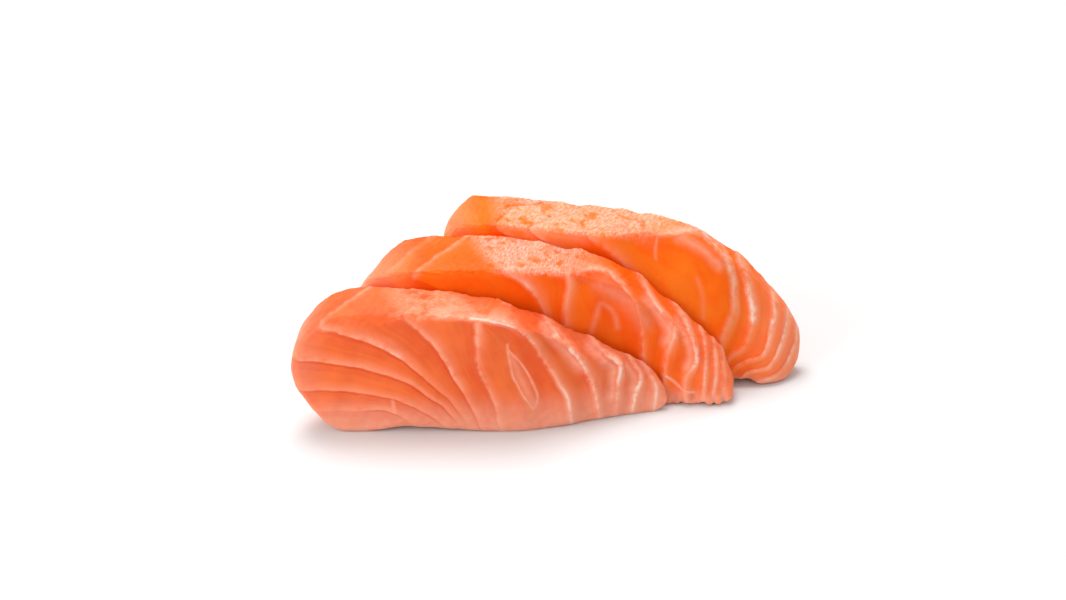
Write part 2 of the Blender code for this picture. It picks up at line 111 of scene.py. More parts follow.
# The slices from front to back. "front_crest" and "back_crest" are the heights of the two top edges, as
# (x, z). "left_end" and "right_end" are the ends' outlines, as (share of the height, x). "slant" is how
# far the left end moves right from the front cut to the back one, as (share of the height, distance).
# "arch" lifts the front foot.
#
# "sheets" are the thin sheets of fat between the muscle layers, from left to right: the line on the front
# cut as (x, z) from its upper or left end to the board, then three tables along it, as (share of the way,
# value), of the fat's half width, its strength, and the strength of the crease under it. Going back
# through the slice they move right by "shear", and down by "sink", for each millimetre. "hollow" is how
# deep the flesh sinks between them, as (x, depth). "soft_edge" is how much rounder than the others the
# front edge on top is. The pale streaks are short lines: narrow threads of fat, wide soft patches, and on
# the front slice painted highlights along the front edge on top and down three ridges: the line, its half
# width and its strength.
# The frosty stretch of the top, pale with its grain and with painted sheen, goes from (x at the front edge,
# x at the back edge) to the same.
# All this paleness is painted light. "tip" is where the flesh starts to turn pale towards the tip, and where
# it would be palest, painted light on the sloping tips. "foot" is how high it is pale above the board,
# painted light bounced from the board, and "end" how far it is pale from the left end, and how strongly,
# painted light from the left.
# "ragged" is where a stringy foot starts, how high it reaches and how deep it is frayed, or None.
SLICES = (
    {
        "name": "slice_front",
        "flesh": "salmon_front",
        "front_crest": (
            (0, 23.8), (5, 25.9), (13, 27.5), (22, 28.1), (40, 27.5), (45, 26.5), (50, 24.5), (57, 19.8),
            (66, 14.0), (74, 8.7), (80, 4.4),
        ),
        "back_crest": (
            (0, 23.6), (4, 26.2), (8, 27.8), (15, 28.9), (24, 28.8), (40, 26.7), (48, 24.5), (54, 22.1),
            (61, 18.8), (69, 14.6), (75, 11.0), (80, 6.0),
        ),
        "left_end": (
            (0, 9.6), (0.08, 7.0), (0.2, 4.4), (0.42, 1.4), (0.62, 0.6), (0.82, 1.7), (0.94, 4.0),
            (1, 6.6),
        ),
        "right_end": ((0, 78.6), (0.5, 80.0), (1, 78.4)),
        "slant": ((0, 3.4), (0.6, 3.4), (0.85, 2.5), (1, 2.2)),
        "arch": ((9, 0), (16, 0), (24, 1.25), (34, 0.6), (43, 0), (80, 0)),
        "sheets": (
            (
                ((-6, 4), (4, 4.8), (13, 5.6), (18.5, 5.8), (22, 4.9), (25, 2.6), (27, -3)),
                ((0, 0.5), (1, 0.4)),
                ((0, 0), (0.3, 0.15), (0.5, 0.35), (0.7, 0.25), (0.85, 0), (1, 0)),
                ((0, 0), (0.35, 0.1), (0.5, 0.5), (0.65, 0.5), (0.8, 0.1), (1, 0)),
            ),
            (
                ((-6, 9.6), (5.6, 10.3), (14, 9.8), (20.6, 8.7), (28, 5.3), (32.5, 1.6), (35, -3)),
                ((0, 0.6), (1, 0.4)),
                ((0, 0.2), (0.3, 0.35), (0.6, 0.3), (0.8, 0.15), (0.9, 0), (1, 0)),
                ((0, 0), (0.15, 0.5), (0.3, 0.7), (0.5, 0.6), (0.75, 0.5), (0.88, 0), (1, 0)),
            ),
            (
                (
                    (-6, 17.6), (3.4, 17.3), (14, 15.8), (24.9, 12.4), (29.2, 9), (33, 5.4), (36, 1.4),
                    (38, -3),
                ),
                ((0, 0.8), (0.4, 0.6), (1, 0.4)),
                ((0, 0.5), (0.2, 0.45), (0.5, 0.3), (0.75, 0.15), (0.88, 0), (1, 0)),
                ((0, 0.3), (0.2, 0.7), (0.45, 0.9), (0.7, 0.7), (0.85, 0), (1, 0)),
            ),
            (
                (
                    (3.6, 31), (5.6, 25.3), (10, 24.3), (20.6, 20), (27, 14.8), (33, 8.6), (37.4, 2.2),
                    (40, -3),
                ),
                ((0, 0.7), (0.2, 0.7), (0.4, 0.9), (0.6, 0.5), (1, 0.4)),
                ((0, 0.6), (0.14, 0.6), (0.3, 0.5), (0.45, 0.7), (0.6, 0.25), (0.8, 0.1), (1, 0)),
                ((0, 0), (0.2, 0.1), (0.35, 0.7), (0.55, 0.8), (0.75, 0.5), (0.88, 0), (1, 0)),
            ),
            (
                ((22.4, 32), (22.8, 28.4), (25.6, 26), (30.8, 20.4), (34.6, 13), (37.8, 7), (41.5, -3)),
                ((0, 0.9), (0.25, 0.6), (0.5, 0.6), (1, 0.4)),
                ((0, 0.6), (0.2, 0.4), (0.4, 0.55), (0.6, 0.65), (0.8, 0.35), (1, 0.3)),
                ((0, 0.3), (0.3, 0.2), (0.5, 0.4), (0.7, 0.6), (0.9, 0.4), (1, 0)),
            ),
            (
                ((38.2, 32), (38.9, 27.6), (39.3, 25), (39.2, 19), (40.8, 12), (43.4, 5.3), (44.5, -3)),
                ((0, 0.9), (0.17, 1.2), (0.35, 0.7), (0.5, 0.5), (1, 0.4)),
                ((0, 0), (0.13, 0), (0.2, 0.6), (0.35, 0.6), (0.6, 0.5), (1, 0.5)),
                ((0, 0), (0.5, 0.15), (0.8, 0.3), (1, 0)),
            ),
            (
                (
                    (39.6, 36), (40.1, 29.2), (41.6, 27.1), (44.9, 26.1), (48.8, 23.6), (51.2, 20.6),
                    (53.2, 17), (56, 11.8), (58.4, 6.6), (59.8, -3),
                ),
                ((0, 0.6), (0.2, 1.0), (0.4, 1.1), (0.5, 0.6), (1, 0.5)),
                (
                    (0, 0), (0.1, 0), (0.2, 0.8), (0.4, 1), (0.55, 0.7), (0.75, 0.55),
                    (0.88, 0.8), (1, 0.7),
                ),
                ((0, 0), (0.15, 0), (0.4, 0.4), (0.6, 0.2), (1, 0)),
            ),
            (
                (
                    (46.5, 32), (51.5, 27.3), (54.3, 24.4), (56.4, 20.9), (59.2, 17.7), (61.9, 13.1),
                    (64, 8.3), (64.9, 2.8), (65.6, -3),
                ),
                ((0, 0.7), (0.2, 0.9), (0.45, 1.0), (0.6, 0.7), (1, 0.45)),
                ((0, 0.6), (0.2, 0.8), (0.45, 1), (0.7, 0.7), (1, 0.7)),
                ((0, 0.3), (0.4, 0.6), (0.5, 0.3), (1, 0)),
            ),
            (
                (
                    (57, 28), (62.3, 20.4), (64.7, 17.4), (67.1, 14.7), (69.7, 11.5), (69.2, 7.6),
                    (68.7, 3), (68.6, -3),
                ),
                ((0, 0.5), (0.3, 0.7), (0.5, 0.9), (0.7, 0.6), (1, 0.4)),
                ((0, 0.6), (0.3, 0.8), (0.5, 1), (0.7, 0.8), (1, 0.6)),
                ((0, 0.3), (0.4, 0.5), (0.55, 0.2), (1, 0)),
            ),
            (
                ((64, 27), (70, 16.2), (74, 8.8), (73.2, 5.6), (72.4, 2), (72.2, -3)),
                ((0, 0.4), (0.4, 0.6), (1, 0.45)),
                ((0, 0.5), (0.3, 0.8), (0.5, 0.9), (1, 0.6)),
                ((0, 0.3), (0.4, 0.3), (0.6, 0), (1, 0)),
            ),
            (
                ((70, 21), (74.2, 12.6), (77.3, 5.6), (77, 1), (76.6, -3)),
                ((0, 0.5), (1, 0.5)),
                ((0, 0.6), (0.5, 0.8), (1, 0.5)),
                ((0, 0.2), (1, 0)),
            ),
        ),
        "shear": ((0, 1.2), (14, 1.1), (28, 0.85), (40, 0.45), (50, 0)),
        "sink": ((0, 0.05), (32, 0.1), (42, 0.35), (80, 0.35)),
        "soft_edge": ((0, 1.2), (0.06, 1.8), (0.16, 2.2), (0.28, 1.8), (0.4, 1), (1, 1)),
        "hollow": ((0, 0.1), (40, 0.25), (54, 0.9), (71, 1.0), (76, 0.5), (79, 0)),
        "pale_and_highlight_streaks": (
            (((45.9, 20.8), (46.0, 18), (46.6, 14.4), (48.4, 9.8), (51.2, 5.1)), 0.25, 0.75),
            (((46.1, 19.4), (48.4, 16.2), (50.8, 11.8), (52.3, 8.1), (51.9, 6.2), (51.2, 5.1)), 0.25, 0.75),
            (((46.8, 17.4), (48.2, 13.2), (50.2, 9), (51.3, 6)), 1.0, 0.4),
            (((21.2, 8.4), (21.4, 6.6), (22, 4.9)), 0.35, 0.6),
            # Painted highlight: a pale streak along the front edge on top, faint here and whitest in the next
            # line.
            (((28, 28.3), (34, 28), (40, 27.4), (43, 26.7), (46, 25.7), (50, 23)), 0.7, 0.4),
            (((37.5, 27.7), (40, 27.4), (43, 26.7), (45, 26.1), (47, 25.2)), 0.6, 1.0),
            # Painted highlights down the ridges of three sheets.
            (((54, 24.2), (56.6, 20.4), (59, 17), (61.4, 13.2)), 1.1, 0.6),
            (((63.6, 18.2), (66.4, 14.6), (68.7, 11.4), (68.5, 8), (68.1, 5)), 1.0, 0.55),
            (((71.6, 11.8), (73.2, 8.6), (72.6, 5.8)), 0.8, 0.45),
            (((40.5, 30.2), (43.5, 29.6)), 0.25, 0.6),
            (((42, 29.4), (44.8, 29)), 0.25, 0.5),
        ),
        "frost_and_sheen": ((22.5, 19.5), (47, 35)),
        "tip": (56, 88),
        "foot": 11,
        "end": (9, 0.4),
        "ragged": None,
    },
    {
        "name": "slice_middle",
        "flesh": "salmon_middle",
        "front_crest": (
            (14, 28.4), (20, 30.4), (30, 31.6), (44, 31.7), (56, 30.8), (61, 29.7), (66, 27.9), (72, 24.4),
            (78, 19.7), (83, 16.0), (89, 9.8), (95, 4.4),
        ),
        "back_crest": (
            (14, 29.0), (20, 31.6), (28, 33.3), (40, 33.1), (50, 32.3), (60, 31.3), (66, 29.8), (74, 26.0),
            (82, 20.4), (89, 14.4), (92, 11.0), (95, 5.6),
        ),
        "left_end": (
            (0, 20.5), (0.08, 18.6), (0.25, 15.9), (0.5, 14.1), (0.72, 13.2), (0.88, 13.2), (1, 15.0),
        ),
        "right_end": ((0, 94.2), (0.5, 94.8), (1, 93.2)),
        "slant": ((0, 11.0), (0.66, 11.0), (0.88, 8.8), (1, 8.2)),
        "arch": ((14, 0), (95, 0)),
        "sheets": (
            (
                ((6, 11), (20, 11), (28, 8), (34, 3), (37, -3)),
                ((0, 0.6), (1, 0.4)),
                ((0, 0.3), (0.5, 0.5), (1, 0.3)),
                ((0, 0.2), (0.5, 0.6), (1, 0)),
            ),
            (
                ((6, 20), (20, 19), (30, 14), (38, 7), (42, -3)),
                ((0, 0.7), (1, 0.4)),
                ((0, 0.4), (0.5, 0.5), (1, 0.3)),
                ((0, 0.3), (0.5, 0.8), (1, 0)),
            ),
            (
                ((17, 36), (18.8, 31), (22, 28), (30, 22), (38, 14), (44, 6), (48, -3)),
                ((0, 0.9), (0.3, 0.7), (1, 0.4)),
                ((0, 0.35), (0.15, 0.35), (0.24, 0), (1, 0)),
                ((0, 0), (1, 0)),
            ),
            (
                ((25, 36), (25.6, 30.6), (30, 28), (36, 24), (43, 17), (49, 8), (54, -3)),
                ((0, 0.8), (0.3, 0.7), (1, 0.4)),
                ((0, 0.6), (0.15, 0.6), (0.24, 0), (1, 0)),
                ((0, 0), (1, 0)),
            ),
            (
                ((44, 36), (44.9, 31.8), (50.3, 27.2), (54, 20), (56, 12), (57.5, -3)),
                ((0, 0.8), (0.2, 0.9), (0.45, 0.8), (1, 0.5)),
                ((0, 0.7), (0.25, 0.6), (0.4, 0.7), (0.5, 0.3), (1, 0.3)),
                ((0, 0.2), (0.2, 0.1), (0.5, 0.2), (1, 0)),
            ),
            (
                ((57.4, 36), (58.2, 31), (58.6, 27.6), (57.8, 22), (57.8, 14), (58.8, 5), (59.6, -3)),
                ((0, 1.0), (0.25, 0.9), (0.4, 0.6), (1, 0.5)),
                ((0, 0.2), (0.12, 0.3), (0.2, 0.6), (0.4, 0.5), (0.7, 0.3), (1, 0.3)),
                ((0, 0), (1, 0)),
            ),
            (
                (
                    (58.5, 38), (59.1, 32.2), (60.4, 31.1), (63.8, 30.7), (67.2, 29.8), (70.6, 26.6),
                    (73, 23.3), (74, 18.8), (74.4, 14.9), (75, -3),
                ),
                ((0, 0.9), (0.3, 0.9), (0.5, 0.8), (0.65, 0.5), (1, 0.4)),
                ((0, 0.2), (0.1, 0.4), (0.2, 0.8), (0.5, 0.9), (0.7, 0.6), (0.85, 0.4), (1, 0.4)),
                ((0, 0), (0.3, 0.3), (0.5, 0.2), (1, 0)),
            ),
            (
                (
                    (69, 37), (73.9, 28.3), (76.2, 23.7), (78.6, 20.2), (81.4, 16.6), (80.2, 13.2),
                    (79.2, 9), (78.6, -3),
                ),
                ((0, 0.4), (0.2, 0.6), (0.4, 0.9), (0.55, 0.9), (0.75, 0.5), (1, 0.4)),
                ((0, 0.6), (0.3, 0.9), (0.5, 1), (0.65, 0.7), (0.85, 0.4), (1, 0.3)),
                ((0, 0.2), (0.4, 0.3), (0.6, 0), (1, 0)),
            ),
            (
                (
                    (76, 33), (82.2, 21.1), (84, 18.3), (85.3, 14.5), (85.9, 11.4), (85.2, 9),
                    (83.8, 6.6), (83.2, -3),
                ),
                ((0, 0.5), (0.4, 0.8), (0.6, 0.8), (1, 0.5)),
                ((0, 0.6), (0.3, 0.9), (0.6, 1), (0.8, 0.5), (1, 0.4)),
                ((0, 0.2), (0.5, 0.2), (1, 0)),
            ),
            (
                ((83.5, 28), (87.6, 15.6), (88.3, 11.6), (87.9, 7), (87, -3)),
                ((0, 0.5), (1, 0.5)),
                ((0, 0.8), (0.6, 0.9), (1, 0.4)),
                ((0, 0.3), (0.6, 0.3), (1, 0)),
            ),
            (
                ((86.5, 25), (90.2, 12.8), (90.4, 9.4), (90.1, 6), (89.3, -3)),
                ((0, 0.45), (1, 0.45)),
                ((0, 0.8), (0.6, 0.8), (1, 0.4)),
                ((0, 0.3), (0.6, 0.3), (1, 0)),
            ),
            (
                ((89.5, 20), (92, 10.6), (92.1, 7), (91.5, -3)),
                ((0, 0.4), (1, 0.4)),
                ((0, 0.8), (1, 0.4)),
                ((0, 0.2), (1, 0)),
            ),
        ),
        "shear": ((10, 0.9), (45, 0.8), (56, 0.45), (66, 0)),
        "sink": ((14, 0.1), (52, 0.1), (60, 0.35), (95, 0.35)),
        "soft_edge": ((0, 1), (0.55, 1), (0.68, 1.4), (0.85, 1), (1, 1)),
        "hollow": ((14, 0.15), (50, 0.25), (62, 0.9), (84, 1.0), (90, 0.5), (93.6, 0)),
        "pale_and_highlight_streaks": (
            (((63.6, 16.4), (64.3, 19.6), (65.5, 23.2), (67.5, 21.8), (68.9, 19.6), (69.2, 17)), 0.6, 0.3),
            (((66, 27.6), (70, 25), (73.4, 21.4), (75, 18.6)), 2.0, 0.35),
            (((76, 23.6), (78.2, 20), (80.4, 16.6), (79.7, 14)), 1.2, 0.6),
            (((82.4, 18.6), (84.4, 14.4), (84.9, 11.4), (84, 8.6)), 0.9, 0.5),
            (((79.4, 6.8), (81.3, 5.6), (83.9, 3.7), (85.6, 3.4)), 0.3, 0.8),
        ),
        "frost_and_sheen": ((43.5, 36.5), (60, 65)),
        "tip": (78, 104),
        "foot": 6,
        "end": (15, 0.6),
        "ragged": (80, 4.5, 0.35),
    },
    {
        "name": "slice_back",
        "flesh": "salmon_back",
        "front_crest": (
            (30, 33.0), (38, 34.4), (50, 34.1), (64, 33.7), (76, 33.2), (84, 31.4), (92, 27.2), (98, 22.6),
            (102.5, 18.6),
        ),
        "back_crest": (
            (30, 34.0), (38, 35.5), (50, 35.0), (62, 34.1), (72, 34.0), (80, 33.9), (86, 32.7), (92, 29.4),
            (98, 24.9), (102.5, 20.6),
        ),
        "left_end": (
            (0, 38.7), (0.1, 36.2), (0.3, 33.9), (0.55, 32.7), (0.8, 31.9), (0.93, 31.9), (1, 32.8),
        ),
        "right_end": (
            (0, 106.9), (0.18, 109.6), (0.4, 109.6), (0.65, 107.5), (0.85, 104.9), (1, 102.4),
        ),
        "slant": ((0, 4.8), (1, 4.8)),
        "arch": ((30, 0), (91, 0), (95, 1.3), (97.4, 1.3), (101, 0), (109, 0)),
        "sheets": (
            (
                ((24, 18), (38, 17), (46, 13), (52, 5), (55, -3)),
                ((0, 0.6), (1, 0.4)),
                ((0, 0.4), (1, 0.4)),
                ((0, 0.3), (0.5, 0.8), (1, 0)),
            ),
            (
                ((24, 27), (40, 25), (50, 18), (58, 8), (62, -3)),
                ((0, 0.7), (1, 0.4)),
                ((0, 0.5), (1, 0.4)),
                ((0, 0.3), (0.5, 0.8), (1, 0)),
            ),
            (
                ((42.2, 39), (43.4, 33.6), (52, 28), (60, 19), (66, 8), (69, -3)),
                ((0, 0.5), (1, 0.5)),
                ((0, 0.4), (1, 0.4)),
                ((0, 0.2), (0.5, 0.6), (1, 0)),
            ),
            (
                ((49, 39), (50, 33.6), (58, 28), (66, 19), (72, 8), (75, -3)),
                ((0, 0.8), (0.3, 0.7), (1, 0.5)),
                ((0, 0.6), (1, 0.4)),
                ((0, 0.4), (0.2, 0.5), (1, 0)),
            ),
            (
                ((61, 39), (62, 33.4), (68, 29), (74, 21), (79, 10), (82, -3)),
                ((0, 0.8), (0.3, 0.7), (1, 0.5)),
                ((0, 0.6), (0.3, 0.4), (1, 0.15)),
                ((0, 0.4), (0.2, 0.3), (0.3, 0), (1, 0)),
            ),
            (
                (
                    (70, 40), (74.5, 34), (77.2, 33.1), (81.5, 33.6), (86.3, 33.8), (89.5, 31.9),
                    (92.8, 27.3), (94.4, 22), (94.4, 17), (91.8, 11), (90, -3),
                ),
                ((0, 0.7), (0.3, 0.9), (0.5, 1.4), (0.75, 1.1), (1, 0.5)),
                ((0, 0.6), (0.25, 0.8), (0.5, 0.9), (0.7, 0.7), (0.85, 0.4), (1, 0.1)),
                ((0, 0), (1, 0)),
            ),
            (
                (
                    (92.5, 37), (96.6, 24.6), (97.6, 20.1), (98.4, 15.3), (98.2, 12), (96.6, 8.6),
                    (93, 6), (91.6, -3),
                ),
                ((0, 0.6), (0.2, 1.0), (0.45, 1.0), (0.55, 0.6), (1, 0.4)),
                ((0, 0.7), (0.2, 0.9), (0.45, 0.95), (0.6, 0.4), (0.8, 0.3), (1, 0.1)),
                ((0, 0), (1, 0)),
            ),
            (
                (
                    (102, 28), (103.6, 16.9), (102.9, 13), (102.2, 9.8), (100.8, 7), (97.6, 6.2),
                    (94, 4), (92.7, -3),
                ),
                ((0, 0.7), (0.3, 0.9), (0.5, 0.6), (0.7, 0.4), (1, 0.35)),
                ((0, 0.8), (0.3, 0.9), (0.5, 0.8), (0.65, 0.5), (0.8, 0.45), (1, 0.2)),
                ((0, 0), (0.4, 0.3), (0.7, 0.4), (1, 0)),
            ),
            (
                (
                    (107, 22), (106.4, 12.4), (105, 8.8), (103.4, 6), (101.6, 4.4), (98.4, 4),
                    (95.4, 1.4), (94.6, -3),
                ),
                ((0, 0.8), (0.35, 0.7), (0.5, 0.5), (1, 0.35)),
                ((0, 0.7), (0.3, 0.8), (0.5, 0.8), (0.7, 0.6), (1, 0.3)),
                ((0, 0), (0.4, 0.4), (0.7, 0.4), (1, 0)),
            ),
            (
                ((110, 14), (108.2, 8), (106.4, 4.6), (103.6, 2.6), (100, 1.6), (97.4, -3)),
                ((0, 0.6), (1, 0.4)),
                ((0, 0.7), (0.5, 0.8), (0.8, 0.5), (1, 0.4)),
                ((0, 0), (0.4, 0.4), (0.7, 0.3), (1, 0)),
            ),
        ),
        "shear": ((30, 0.1), (46, 0.5), (56, 1.1), (70, 0.8), (82, 0)),
        "sink": ((30, 0.05), (70, 0.1), (78, 0.35), (102, 0.35), (108, 0.15)),
        "soft_edge": ((0, 1), (0.5, 1), (0.65, 1.7), (0.8, 1.3), (1, 1)),
        "hollow": ((30, 0.2), (60, 0.3), (80, 0.6), (97, 0.7), (103, 0.3), (106, 0)),
        "pale_and_highlight_streaks": (
            (((77.0, 35.4), (77.4, 31), (77.3, 27.8)), 0.3, 0.5),
            (((86.5, 24), (87.2, 21.6), (87.8, 18.5), (87.8, 15.4)), 0.55, 0.2),
            (((82.5, 32.6), (86, 31.2), (89, 29.2), (91.5, 26.6)), 1.1, 0.5),
            (((50, 32.4), (56, 32.2), (62, 31.8)), 1.3, 0.3),
        ),
        "frost_and_sheen": ((43.7, 42.4), (75, 86)),
        "tip": (93, 114),
        "foot": 4,
        "end": (9, 0.4),
        "ragged": None,
    },
)

# A sheet's line is drawn in SHEET_STEPS straight runs between each two of its points. Beyond the outermost
# sheets the layers go on OUTER_LAYER wide, and a layer FULL_LAYER wide has its full hollow. A hollow's
# deepest place lies nearer to the sheet on its right, where it ends in a step: SKEW says how much.
SHEET_STEPS = 6
OUTER_LAYER = 5.0
FULL_LAYER = 6.0
SKEW = 1.6

# The hollows fade out towards the board over this height.
FOOT_FADE = 2.0

# How far the left end swells out between its front and back edges.
END_BULGE = 1.8

# Shares of the height and of the thickness that the rounded edges take, as (share of the length, rim).
EDGE_RIM = ((0, 0.11), (0.12, 0.07), (0.5, 0.07), (0.75, 0.2), (1, 0.34))
SIDE_RIM = ((0, 0.16), (0.12, 0.1), (0.5, 0.1), (0.75, 0.22), (1, 0.34))
END_RIM = 0.022

# Fine relief, in millimetres: the creases' depth, place under their sheet and width, and the depths and
# lengths of the flesh's slow unevenness and of the grain on top. Sheets swerve a little, in waves too.
CREASE_DEPTH = 0.14
CREASE_PLACE = -0.3
CREASE_WIDTH = 0.32
UNEVEN_DEPTH = 0.12
UNEVEN_LENGTH = 7.0
GRAIN_DEPTH = 0.07
GRAIN_LENGTH = 1.3
SWERVE = 0.1
SWERVE_LENGTH = 6.0

# Seeds of the random waves, to which a slice's number is added.
SWERVE_SEEDS = (31, 41)
UNEVEN_SEED = 51
GRAIN_SEED = 61
FRAY_SEED = 71

# Fraying runs up and down: its waves are this long across, and longer along y and z. Around the place
# where a ragged foot starts it sets in over FRAY_START, and it is full up to FRAY_FULL of its height.
FRAY_LENGTH = 1.5
FRAY_STRETCH = (1, 0.4, 0.3)
FRAY_START = (-2, 4)
FRAY_FULL = 0.3

# The frosty grain and its painted sheen set in and end over these stretches around their start and end.
FROST_SHEEN_START = (-2.5, 4.0)
FROST_SHEEN_END = (-8.0, 5.0)

# A surface begins to count as a top where this much of its direction is upward, and is one from there.
TOP = (0.2, 0.7)

# Painted light: flesh is pale from the board up to FOOT_PALE, as light bounced from the board, and from the
# left end over END_PALE, as light from the left, and fades from there. Towards the tips painted light pales
# the slopes: the top turns pale TIP_LEAD sooner than the sides. The sides come to be TIP_PALE pale
# there, and the top half as pale.
FOOT_PALE = 0.3
END_PALE = 1
TIP_LEAD = 4.0
TIP_PALE = 0.7

# The board under the fish and the white room's light; the softboxes face a place in the slices.
BOARD_WIDTH = 6.0
BOARD_WHITE = (0.75, 0.75, 0.75, 1)
ROOM_STRENGTH = 0.66
LIGHT_AIM = Vector((0, 0, 0.015))

# The camera stands in front and looks down on the slices; its aim and distance are in metres.
CAMERA_ELEVATION = math.radians(30)
CAMERA_DISTANCE = 0.636
CAMERA_AIM = Vector((-0.00383, 0, 0.0203))
CAMERA_LENS = 100


def through(knots, at):
    """Smooth curve through (place, value) knots, without overshoot and level beyond its ends.

    Each piece is a cubic whose end slopes are the harmonic means of the neighbouring chords.
    """
    place, value = np.array(knots, float).T
    step = np.diff(place)
    chord = np.diff(value) / step
    slope = np.zeros(len(place))
    same_way = chord[:-1] * chord[1:] > 0
    both = np.where(same_way, chord[:-1] + chord[1:], 1.0)
    slope[1:-1] = np.where(same_way, 2 * chord[:-1] * chord[1:] / both, 0.0)
    slope[0], slope[-1] = chord[0], chord[-1]
    at = np.clip(at, place[0], place[-1])
    piece = np.clip(np.searchsorted(place, at, side="right") - 1, 0, len(step) - 1)
    width = step[piece]
    t = (at - place[piece]) / width
    rise = t * t * (3 - 2 * t)
    start = slope[piece] * width * t * (1 - t) ** 2
    end = slope[piece + 1] * width * t * t * (t - 1)
    return value[piece] + (value[piece + 1] - value[piece]) * rise + start + end


def smooth(value, low, high):
    """Rises smoothly from 0 at low to 1 at high."""
    t = np.clip((value - low) / (high - low), 0, 1)
    return t * t * (3 - 2 * t)


def waves(points, length, seed, count=14):
    """Smooth unevenness of about -1 to 1: the sum of sine waves in random directions, near one length."""
    chance = np.random.default_rng(seed)
    way = chance.normal(size=(count, points.shape[1]))
    way /= np.linalg.norm(way, axis=1, keepdims=True)
    pace = 2 * np.pi / (length * chance.uniform(0.6, 1.6, count))
    start = chance.uniform(0, 2 * np.pi, count)
    total = np.zeros(len(points))
    for number in range(count):
        total += np.sin(points @ way[number] * pace[number] + start[number])
    return total / math.sqrt(count)


def cut_depth(number, x, z):
    """y of a knife cut: its foot line, plus its lean times the height, plus the knife's slow drift."""
    cut = CUTS[number]
    turn = 2 * np.pi * (x / DRIFT_LENGTH + number * DRIFT_STEP)
    drift = DRIFT * np.sin(turn) * np.sin(2 * np.pi * z / DRIFT_HEIGHT)
    return through(cut["foot"], x) + through(cut["lean"], x) * z + drift


def line_curve(knots):
    """A smooth curve through a line's knots, as SHEET_STEPS straight runs between each two."""
    turns = np.arange(len(knots))
    steps = np.linspace(0, len(knots) - 1, SHEET_STEPS * (len(knots) - 1) + 1)
    x, z = np.array(knots, float).T
    return np.stack([through(np.stack([turns, x], -1), steps), through(np.stack([turns, z], -1), steps)], -1)


def beside(knots, places):
    """Distance of each place from a line, positive on its upper right, and its share of the way along."""
    curve = line_curve(knots)
    best = np.full(len(places), np.inf)
    side = np.zeros(len(places))
    along = np.zeros(len(places))
    for number, (start, end) in enumerate(zip(curve[:-1], curve[1:])):
        run = end - start
        away = places - start
        share = np.clip(away @ run / (run @ run), 0, 1)
        distance = np.linalg.norm(away - share[:, None] * run, axis=1)
        nearer = distance < best
        best = np.where(nearer, distance, best)
        side = np.where(nearer, np.sign(run[0] * away[:, 1] - run[1] * away[:, 0]), side)
        along = np.where(nearer, number + share, along)
    return best * side, along / (len(curve) - 1)


def on_front_cut(number, points):
    """Places (x, z) on the front cut that belong to the points, which go forward along the sheets."""
    kind = SLICES[number]
    x, y, z = points.T
    behind = y - cut_depth(number, x, z)
    places = np.stack([x - through(kind["shear"], x) * behind, z + through(kind["sink"], x) * behind], -1)
    bend = [waves(points, SWERVE_LENGTH, seed + number) for seed in SWERVE_SEEDS]
    return places + SWERVE * np.stack(bend, -1)


def layers(number, points):
    """Where points lie in the muscle layers, and the fat next to them.

    "layer" is a whole number at each sheet and goes between by the distances from both; outside them it
    goes on in layers OUTER_LAYER wide. "layer_width" is the layer's width. "fat_width", "fat" and
    "crease" are the nearest sheet's own values. The pale streak, a thread of fat or a painted highlight,
    falls from a short line's strength at its middle to nothing at twice its half width.
    """
    kind = SLICES[number]
    places = on_front_cut(number, points)
    sides, fat_width, fat, crease = [], [], [], []
    for knots, widths, strengths, creases in kind["sheets"]:
        side, along = beside(knots, places)
        sides.append(side)
        fat_width.append(through(widths, along))
        fat.append(through(strengths, along))
        crease.append(through(creases, along))
    sides = np.stack(sides)
    last = len(sides) - 1
    passed = (sides > 0).sum(0)
    row = np.arange(len(points))
    left = sides[np.clip(passed - 1, 0, last), row]
    right = sides[np.clip(passed, 0, last), row]
    inner = (passed > 0) & (passed <= last)
    width = np.where(inner, left - right, OUTER_LAYER)
    place = np.where(passed > 0, passed - 1 + left / np.maximum(width, TINY), right / OUTER_LAYER)
    nearest = np.abs(sides).argmin(0)
    pale_and_highlight_streak = np.zeros(len(points))
    for knots, half_width, strength in kind["pale_and_highlight_streaks"]:
        side, along = beside(knots, places)
        pale_and_highlight_streak = np.maximum(pale_and_highlight_streak, strength * np.maximum(1 - np.abs(side) / (2 * half_width), 0) ** 1.5)
    return {
        "layer": place,
        "layer_width": width,
        "fat_width": np.stack(fat_width)[nearest, row],
        "fat": np.stack(fat)[nearest, row],
        "crease": np.stack(crease)[nearest, row],
        "pale_and_highlight_streak": pale_and_highlight_streak,
    }


def relief(number, points, up, layer):
    """How deep the surface lies under the plain bent block, in millimetres.

    Between two sheets the flesh is hollowed by a sine, skewed so that it ends in a step. The creases are
    narrow grooves under the sheets. Slow waves make the flesh uneven, and fine ones grain the top. The
    foot of a ragged slice is frayed as well.
    """
    kind = SLICES[number]
    place, width = layer["layer"], layer["layer_width"]
    fraction = place - np.floor(place)
    hollow = through(kind["hollow"], points[:, 0]) * np.minimum(width / FULL_LAYER, 1)
    hollow *= np.sin(np.pi * fraction ** SKEW)
    side = (place - np.round(place)) * width
    groove = CREASE_DEPTH * layer["crease"] * np.exp(-(((side - CREASE_PLACE) / CREASE_WIDTH) ** 2))
    uneven = UNEVEN_DEPTH * (1 + waves(points, UNEVEN_LENGTH, UNEVEN_SEED + number))
    grain = GRAIN_DEPTH * up * (1 + waves(points, GRAIN_LENGTH, GRAIN_SEED + number))
    fade = np.clip(points[:, 2] / FOOT_FADE, 0, 1)
    return fade * np.maximum(hollow + groove + uneven + grain, 0) + fraying(number, points)


